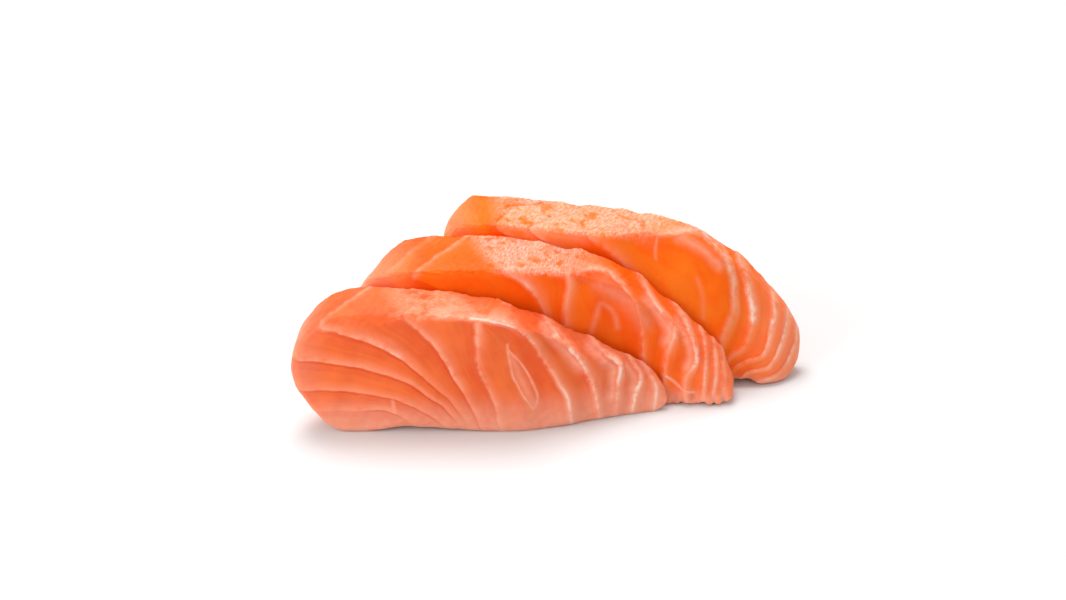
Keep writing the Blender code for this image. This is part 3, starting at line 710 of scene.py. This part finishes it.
def fraying(number, points):
    """How deep a stringy foot is frayed: waves that run up and down, fading upwards and to the left."""
    if SLICES[number]["ragged"] is None:
        return 0.0
    start, height, depth = SLICES[number]["ragged"]
    x, _, z = points.T
    frayed = depth * smooth(x - start, *FRAY_START) * (1 - smooth(z, FRAY_FULL * height, height))
    return np.maximum(frayed * (1 + waves(points * FRAY_STRETCH, FRAY_LENGTH, FRAY_SEED + number)), 0)


def block_grid():
    """Points on the six faces of a unit block, welded, and its quads with their fronts outwards."""
    ruler = []
    for count, rim_count in zip(CELLS, RIM_CELLS):
        rim = np.linspace(0, RIM_SHARE, rim_count + 1)
        inner = np.linspace(RIM_SHARE, 1 - RIM_SHARE, count - 2 * rim_count + 1)
        ruler.append(np.concatenate([rim, inner[1:-1], 1 - rim[::-1]]))
    corners, quads, start = [], [], 0
    for axis in range(3):
        first, second = (axis + 1) % 3, (axis + 2) % 3
        for side in (0, CELLS[axis]):
            i, j = np.meshgrid(np.arange(CELLS[first] + 1), np.arange(CELLS[second] + 1), indexing="ij")
            lattice = np.empty((i.size, 3), int)
            lattice[:, axis] = side
            lattice[:, first] = i.ravel()
            lattice[:, second] = j.ravel()
            index = start + np.arange(i.size).reshape(i.shape)
            around = (index[:-1, :-1], index[1:, :-1], index[1:, 1:], index[:-1, 1:])
            quad = np.stack(around, -1).reshape(-1, 4)
            corners.append(lattice)
            quads.append(quad if side else quad[:, ::-1])
            start += i.size
    corners, index = np.unique(np.concatenate(corners), axis=0, return_inverse=True)
    quads = index.reshape(-1)[np.concatenate(quads)]
    return np.stack([ruler[axis][corners[:, axis]] for axis in range(3)], -1), quads


def widened(share, rim):
    """Moves a share of 0 to 1 so that the outer rims, RIM_SHARE wide at first, become rim wide."""
    low = share / RIM_SHARE * rim
    middle = rim + (share - RIM_SHARE) / (1 - 2 * RIM_SHARE) * (1 - 2 * rim)
    high = 1 - (1 - share) / RIM_SHARE * rim
    return np.where(share < RIM_SHARE, low, np.where(share > 1 - RIM_SHARE, high, middle))


def rounded(number, shares):
    """Rounds the unit block's edges: within the rims a point goes to the same direction on a ball."""
    along, depth, height = shares.T
    soft = 1 + (through(SLICES[number]["soft_edge"], along) - 1) * (1 - depth) ** 2 * height ** 2
    end_rim = np.full(len(along), END_RIM)
    rims = np.stack([end_rim, through(SIDE_RIM, along) * soft, through(EDGE_RIM, along) * soft], -1)
    moved = np.stack([widened(shares[:, axis], rims[:, axis]) for axis in range(3)], -1)
    core = np.clip(moved, rims, 1 - rims)
    way = (moved - core) / rims
    reach = np.linalg.norm(way, axis=1, keepdims=True)
    return core + rims * way / np.maximum(reach, TINY)


def slice_points(number, shares):
    """Bends a unit block's points to a slice: x between the ends, y between cuts, z from board to crest."""
    kind = SLICES[number]
    along, depth, height = shares.T
    bulge = END_BULGE * 4 * depth * (1 - depth)
    left = through(kind["left_end"], height) + through(kind["slant"], height) * depth - bulge
    right = through(kind["right_end"], height)
    x = left + (right - left) * along
    floor = through(kind["arch"], x) * (1 - depth)
    crest = through(kind["front_crest"], x) * (1 - depth) + through(kind["back_crest"], x) * depth
    z = floor + (crest - floor) * height
    front = cut_depth(number, x, z) + GAP / 2
    back = cut_depth(number + 1, x, z) - GAP / 2
    return np.stack([x, front + (back - front) * depth, z], -1)


def read(mesh, what):
    """The mesh's vertex places ("co") or directions ("normal") as rows of x, y, z."""
    values = np.empty(3 * len(mesh.vertices))
    mesh.vertices.foreach_get(what, values)
    return values.reshape(-1, 3)


def move(mesh, points):
    """Puts the mesh's vertices at the points."""
    mesh.vertices.foreach_set("co", points.ravel())
    mesh.update()


def keep(mesh, name, values):
    """Stores one number for each vertex, which the material reads by its name."""
    attribute = mesh.attributes.new(name, "FLOAT", "POINT")
    attribute.data.foreach_set("value", np.asarray(values, np.float32))


def frost_and_sheen_share(number, points, shares):
    """How much frosty grain and painted sheen the flesh has: 1 on that stretch of the top, 0 on the smooth
    flesh beyond; make_slice keeps it to the tops.
    """
    (start_front, start_back), (end_front, end_back) = SLICES[number]["frost_and_sheen"]
    x, depth = points[:, 0], shares[:, 1]
    start = start_front + (start_back - start_front) * depth
    end = end_front + (end_back - end_front) * depth
    return smooth(x - start, *FROST_SHEEN_START) * (1 - smooth(x - end, *FROST_SHEEN_END))


def paleness(number, points, up):
    """How much painted light pales the flesh: light bounced from the board, light on the left end, and light
    on the slopes near the slice's tip: 0 to 1.
    """
    x, _, z = points.T
    kind = SLICES[number]
    foot = 1 - smooth(z, FOOT_PALE, kind["foot"])
    length, strength = kind["end"]
    end = strength * (1 - smooth(x - x.min(), END_PALE, length))
    tip = smooth(x + TIP_LEAD * up, *kind["tip"]) * TIP_PALE * (1 - up / 2)
    return np.maximum(np.maximum(foot, end), tip)


def make_slice(number, shares, quads, material):
    """One slice: the fine block bent between its cuts, hollowed and grained, with its layers kept on it."""
    kind = SLICES[number]
    mesh = bpy.data.meshes.new(kind["name"] + "_flesh")
    bent = rounded(number, shares)
    points = slice_points(number, bent)
    mesh.from_pydata(points.tolist(), [], quads.tolist())
    mesh.update()
    normal = read(mesh, "normal")
    up = smooth(normal[:, 2], *TOP)
    layer = layers(number, points)
    points = points - normal * relief(number, points, up, layer)[:, None]
    # On the tops: frosty grain with painted sheen.
    look = {"up": up, "frost_and_sheen": frost_and_sheen_share(number, points, bent) * up, "pale": paleness(number, points, up)}
    for name, values in (layer | look).items():
        keep(mesh, name, values)
    move(mesh, (points - (*ORIGIN, 0.0)) * MILLIMETRE)
    mesh.shade_smooth()
    mesh.materials.append(material)
    piece = bpy.data.objects.new(kind["name"] + "_flesh", mesh)
    bpy.context.scene.collection.objects.link(piece)
    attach(piece, "root")
    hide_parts(kind["name"])
    kind["flesh"]


class Value:
    """A number socket of a shader, so that Python's operators add its Math nodes."""

    def __init__(self, shader, socket):
        self.shader = shader
        self.socket = socket

    def maths(self, operation, *inputs):
        """One Math node on values and numbers."""
        return self.shader.node("ShaderNodeMath", {"operation": operation}, dict(enumerate(inputs)))

    def __add__(self, other):
        return self.maths("ADD", self, other)

    __radd__ = __add__

    def __sub__(self, other):
        return self.maths("SUBTRACT", self, other)

    def __rsub__(self, other):
        return self.maths("SUBTRACT", other, self)

    def __mul__(self, other):
        return self.maths("MULTIPLY", self, other)

    __rmul__ = __mul__

    def __truediv__(self, other):
        return self.maths("DIVIDE", self, other)

    def __pow__(self, other):
        return self.maths("POWER", self, other)

    def __abs__(self):
        return self.maths("ABSOLUTE", self)

    def __round__(self):
        return self.maths("ROUND", self)


class Shader:
    """A material's node tree, filled by expressions."""

    def __init__(self, name):
        self.material = bpy.data.materials.new(name)
        self.material.use_nodes = True
        self.tree = self.material.node_tree
        self.surface = self.tree.nodes["Principled BSDF"]

    def plug(self, socket, value):
        """Links a value to a socket, or sets the socket to a plain number or colour."""
        if isinstance(value, Value):
            self.tree.links.new(value.socket, socket)
        else:
            socket.default_value = value

    def node(self, kind, settings, inputs, output=0):
        """Adds a node: its settings first, then the values or links of its sockets, by name or number."""
        made = self.tree.nodes.new(kind)
        for name, value in settings.items():
            setattr(made, name, value)
        for name, value in inputs.items():
            self.plug(made.inputs[name], value)
        return Value(self, made.outputs[output])

    def attribute(self, name):
        """A number that make_slice has kept on the mesh."""
        return self.node("ShaderNodeAttribute", {"attribute_name": name}, {}, "Fac")

    def objectwise(self):
        """The place on the object, in metres."""
        return self.node("ShaderNodeTexCoord", {}, {}, "Object")

    def noise(self, vector, scale, detail=2.0, roughness=0.5):
        """Smooth noise of about 0 to 1."""
        inputs = {"Vector": vector, "Scale": scale, "Detail": detail, "Roughness": roughness}
        return self.node("ShaderNodeTexNoise", {}, inputs, 0)

    def smooth(self, value, low, high):
        """Rises smoothly from 0 at low to 1 at high."""
        inputs = {"Value": value, "From Min": low, "From Max": high}
        return self.node("ShaderNodeMapRange", {"interpolation_type": "SMOOTHSTEP"}, inputs, 0)

    def turned(self, vector, angle):
        """The vector turned about z."""
        inputs = {"Vector": vector, "Angle": angle}
        return self.node("ShaderNodeVectorRotate", {"rotation_type": "Z_AXIS"}, inputs, 0)

    def stretched(self, vector, scales):
        """The vector with each of its parts scaled."""
        inputs = {0: vector, 1: scales}
        return self.node("ShaderNodeVectorMath", {"operation": "MULTIPLY"}, inputs, 0)

    def triple(self, x, y, z):
        """A vector of three values."""
        return self.node("ShaderNodeCombineXYZ", {}, {0: x, 1: y, 2: z})

    def parts(self, vector):
        """The three values of a vector."""
        made = self.tree.nodes.new("ShaderNodeSeparateXYZ")
        self.plug(made.inputs[0], vector)
        return [Value(self, made.outputs[axis]) for axis in range(3)]

    def mix(self, share, first, second):
        """The first colour, going over to the second by the share."""
        settings = {"data_type": "RGBA", "clamp_factor": True}
        return self.node("ShaderNodeMix", settings, {0: share, 6: first, 7: second}, 2)

    def bump(self, height, distance):
        """The surface's direction with a height added, of which 1 stands for the distance in metres."""
        inputs = {"Height": height, "Distance": distance, "Strength": 1.0}
        return self.node("ShaderNodeBump", {}, inputs, 0)


# Colours of the flesh, as linear red, green and blue: the clear flesh, its deep colour, redder and partly
# painted shade, and the pale grain on top, partly painted sheen. The slices' colours are lit and shaded
# copies of one flesh: the front slice's darker, pinker colours are painted shade with light bounced from
# the board, and the saturated orange of the middle and back slices is painted glow of light bouncing
# between the slices. "stroke" is the way that the grain runs, in degrees from x.
FLESH = {
    "salmon_front": {
        "clear": (0.88, 0.178, 0.048, 1),
        "deep": (0.76, 0.106, 0.026, 1),
        "frost_and_sheen": (0.98, 0.35, 0.20, 1),
        "stroke": 8,
    },
    "salmon_middle": {
        "clear": (1.00, 0.160, 0.006, 1),
        "deep": (0.90, 0.100, 0.002, 1),
        "frost_and_sheen": (0.97, 0.54, 0.42, 1),
        "stroke": 78,
    },
    "salmon_back": {
        "clear": (1.00, 0.200, 0.010, 1),
        "deep": (0.97, 0.120, 0.001, 1),
        "frost_and_sheen": (0.98, 0.54, 0.39, 1),
        "stroke": 55,
    },
}
FAT = (0.97, 0.46, 0.32, 1)
# Painted highlight: the strongest fat and the highlight streaks turn to this whiter colour.
SHINE = (1.00, 0.68, 0.56, 1)
# Painted shade in the creases under the fat lines.
CREASE_SHADE_COLOUR = (0.70, 0.050, 0.006, 1)
# Pale colour of painted light at the foot, the left end and the tips.
PALE = (0.90, 0.38, 0.26, 1)

# Light scatters this far inside the flesh, in metres for red light, and in these shares by colour.
SCATTER = 0.0014
SCATTER_SHARES = (1.0, 0.25, 0.1)

# Scales of the noises, from wide clouds to fine specks, for places in metres. The frosted grain is drawn
# out along its strokes. Fibres change with the layer, and along x, y and z.
CLOUD = 130
PATCH = 330
MOTTLE = 700
SPECK = 3200
STROKE = (1000, 2700, 1900)
FIBRE_LAYER = 9
FIBRE = (60, 260, 120)

# On the surface, in millimetres: how far a fat line wavers to either side in all, how far from its sheet
# the painted shade in a crease is darkest, and how far from there it begins to fade and has gone.
WAVER = 0.45
CREASE_SHADE = -0.34
CREASE_FADE = (0.05, 0.36)

# Height of the grain in the bump, in metres.
BUMP = 0.00025


def flesh_patterns(shader, stroke_angle):
    """The flesh's unevenness: clouds, patches, mottle and specks, fibres, and the strokes of the grain."""
    where = shader.objectwise()
    x, y, z = shader.parts(where)
    layer = shader.attribute("layer") * FIBRE_LAYER
    fibres = shader.triple(layer, y * FIBRE[1], z * FIBRE[2] + x * FIBRE[0])
    turned = shader.turned(where, -math.radians(stroke_angle))
    return {
        "cloud": shader.noise(where, CLOUD, 3),
        "patch": shader.noise(where, PATCH),
        "mottle": shader.noise(where, MOTTLE, 3),
        "speck": shader.noise(where, SPECK),
        "fibre": shader.noise(fibres, 1),
        "stroke": shader.noise(shader.stretched(turned, STROKE), 1, roughness=0.6),
    }


def fat_and_crease(shader, pattern):
    """How much fat shows, and how dark the painted shade in the crease is, each from 0 to 1.

    A fat line is brightest on its sheet and fades upwards in a wide pale band. Below, it ends softly, or
    sharply where there is a crease.
    """
    place = shader.attribute("layer")
    up = shader.attribute("up")
    crease = shader.attribute("crease")
    mottle = pattern["mottle"]
    away = place - round(place)
    side = away * shader.attribute("layer_width") + (mottle - 0.5) * WAVER
    share = side / (shader.attribute("fat_width") * 1.5)
    sharp = shader.smooth(crease, 0.0, 0.4)
    rise = shader.smooth(side + (pattern["speck"] - 0.5) * 0.2, sharp * 0.6 - 1.1, 0.25)
    line = 1 - shader.smooth(share, 0.0, 1.5)
    band = (1 - shader.smooth(share, 0.0, 4.5)) ** 2 * (1 - shader.smooth(abs(away), 0.3, 0.5))
    strength = shader.attribute("fat") * shader.smooth(mottle + pattern["cloud"], 0.55, 1.15)
    fat = rise * (line * strength * 0.8 + band * (0.4 - up * 0.3)) * (strength ** 0.5)
    # Pale streaks: threads of fat, and painted highlights.
    pale_and_highlight_streak = shader.attribute("pale_and_highlight_streak") * (0.5 + mottle)
    shade = 1 - shader.smooth(abs(side - CREASE_SHADE), *CREASE_FADE)
    return fat.maths("MAXIMUM", fat, pale_and_highlight_streak), shade * crease * shader.smooth(mottle, 0.25, 0.5)


def flesh_colour(shader, kind, pattern, grain_and_sheen, fat, crease):
    """Clear flesh over a deeper colour, frosty with painted sheen where grain shows, pale at the foot, ends
    and tips with painted light, with fat lines and their painted highlights, and painted shade in the
    creases.

    A layer is clearer just right of its sheet and deeper towards the next one, painted shade of the step
    under that sheet; random clouds and fibres vary it, and tops lean a little more to the deep colour.
    """
    place = shader.attribute("layer")
    fraction = place - place.maths("FLOOR", place)
    # Painted shade: deeper towards the step under the next sheet; clouds and fibres vary it at random.
    depth = shader.smooth(pattern["cloud"] * 0.5 + pattern["fibre"] * 0.25 + (1 - fraction) * 0.25, 0.3, 0.65)
    colour = shader.mix(depth * (1 - shader.attribute("up") * 0.3), kind["deep"], kind["clear"])
    # Frosty grain of the top, paled further by painted sheen.
    frost_and_sheen_mix = grain_and_sheen * (0.3 + shader.smooth(pattern["stroke"], 0.4, 0.66) * 0.5)
    colour = shader.mix(frost_and_sheen_mix, colour, kind["frost_and_sheen"])
    # Painted light pales the foot, the left end and the tips.
    colour = shader.mix(shader.attribute("pale") * (0.45 + pattern["mottle"] * 0.7), colour, PALE)
    # Painted highlight where fat or a highlight streak is strongest.
    colour = shader.mix(fat, colour, shader.mix(shader.smooth(fat, 0.5, 1.0), FAT, SHINE))
    # Painted shade darkens the creases.
    return shader.mix(crease * 0.7, colour, CREASE_SHADE_COLOUR)


def flesh_material(name):
    """Raw salmon: moist flesh that light enters, with fat lines, creases and grained, frosty tops, its colour
    holding painted sheen, highlights, light and shade.
    """
    shader = Shader(name)
    kind = FLESH[name]
    up = shader.attribute("up")
    pattern = flesh_patterns(shader, kind["stroke"])
    speck = pattern["speck"]
    fat, crease = fat_and_crease(shader, pattern)
    # Frosty grain with painted sheen on the tops; the same share roughens the bump and adds coat.
    grain_and_sheen = shader.attribute("frost_and_sheen") * shader.smooth(pattern["patch"], 0.32, 0.5)
    grain = pattern["stroke"] * (0.1 + grain_and_sheen * 0.6) + speck * (0.08 + up * 0.2)
    grain = grain + pattern["mottle"] * 0.3 + pattern["fibre"] * 0.2

    surface = shader.surface
    shader.plug(surface.inputs["Base Color"], flesh_colour(shader, kind, pattern, grain_and_sheen, fat, crease))
    shader.plug(surface.inputs["Roughness"], 0.34 + speck * 0.14)
    shader.plug(surface.inputs["Normal"], shader.bump(grain + fat * 0.1 - crease * 0.2, BUMP))
    shader.plug(surface.inputs["Coat Weight"], grain_and_sheen * 0.22 + fat * 0.25 + up * 0.05)
    surface.inputs["Coat Roughness"].default_value = 0.2
    surface.inputs["Coat IOR"].default_value = 1.42
    surface.inputs["IOR"].default_value = 1.38
    surface.inputs["Specular IOR Level"].default_value = 0.12
    surface.inputs["Subsurface Weight"].default_value = 0.5
    surface.inputs["Subsurface Radius"].default_value = SCATTER_SHARES
    surface.inputs["Subsurface Scale"].default_value = SCATTER
    return shader.material


def board_material():
    """Plain white surface under the fish."""
    shader = Shader("white_board")
    shader.surface.inputs["Base Color"].default_value = BOARD_WHITE
    shader.surface.inputs["Roughness"].default_value = 0.9
    shader.surface.inputs["Specular IOR Level"].default_value = 0.0
    return shader.material


def board():
    """The floor: one wide flat square at the height the slices rest on."""
    half = BOARD_WIDTH / 2
    mesh = bpy.data.meshes.new("board")
    corners = [(-half, -half, 0), (half, -half, 0), (half, half, 0), (-half, half, 0)]
    mesh.from_pydata(corners, [], [(0, 1, 2, 3)])
    mesh.materials.append(board_material())
    piece = bpy.data.objects.new("board", mesh)
    bpy.context.scene.collection.objects.link(piece)
    piece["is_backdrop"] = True


def softbox(name, place, size, power):
    """A square area light that faces the middle of the slices."""
    light = bpy.data.lights.new(name, "AREA")
    light.shape = "SQUARE"
    light.size = size
    light.energy = power
    piece = bpy.data.objects.new(name, light)
    piece.location = place
    piece.rotation_euler = (LIGHT_AIM - Vector(place)).to_track_quat("-Z", "Y").to_euler()
    bpy.context.scene.collection.objects.link(piece)


def studio():
    """Plain soft light: white all round, a softbox above and behind, and a weak fill at the front left."""
    world = bpy.data.worlds.new("white_room")
    world.use_nodes = True
    background = world.node_tree.nodes["Background"]
    background.inputs["Color"].default_value = (1, 1, 1, 1)
    background.inputs["Strength"].default_value = ROOM_STRENGTH
    bpy.context.scene.world = world
    softbox("softbox_above", place=(-0.12, 0.28, 0.82), size=0.5, power=6.0)
    softbox("fill_front_left", place=(-0.32, -0.24, 0.2), size=0.3, power=0.8)


def camera():
    """The camera in front of the slices, looking down on them."""
    piece = bpy.data.objects.new("camera", bpy.data.cameras.new("camera"))
    away = Vector((0, -math.cos(CAMERA_ELEVATION), math.sin(CAMERA_ELEVATION)))
    piece.location = CAMERA_AIM + away * CAMERA_DISTANCE
    piece.rotation_euler = (math.pi / 2 - CAMERA_ELEVATION, 0, 0)
    piece.data.lens = CAMERA_LENS
    bpy.context.scene.collection.objects.link(piece)
    bpy.context.scene.camera = piece


def main():
    """The three slices on the board, the light and the camera."""
    shares, quads = block_grid()
    for number, kind in enumerate(SLICES):
        make_slice(number, shares, quads, flesh_material(kind["flesh"]))
    board()
    studio()
    camera()
    bpy.context.scene.view_settings.view_transform = "Standard"


main()
boxes = {"cad": CAD_BOX, "visual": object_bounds()}
{name: [list(corner) for corner in box] for name, box in boxes.items()}
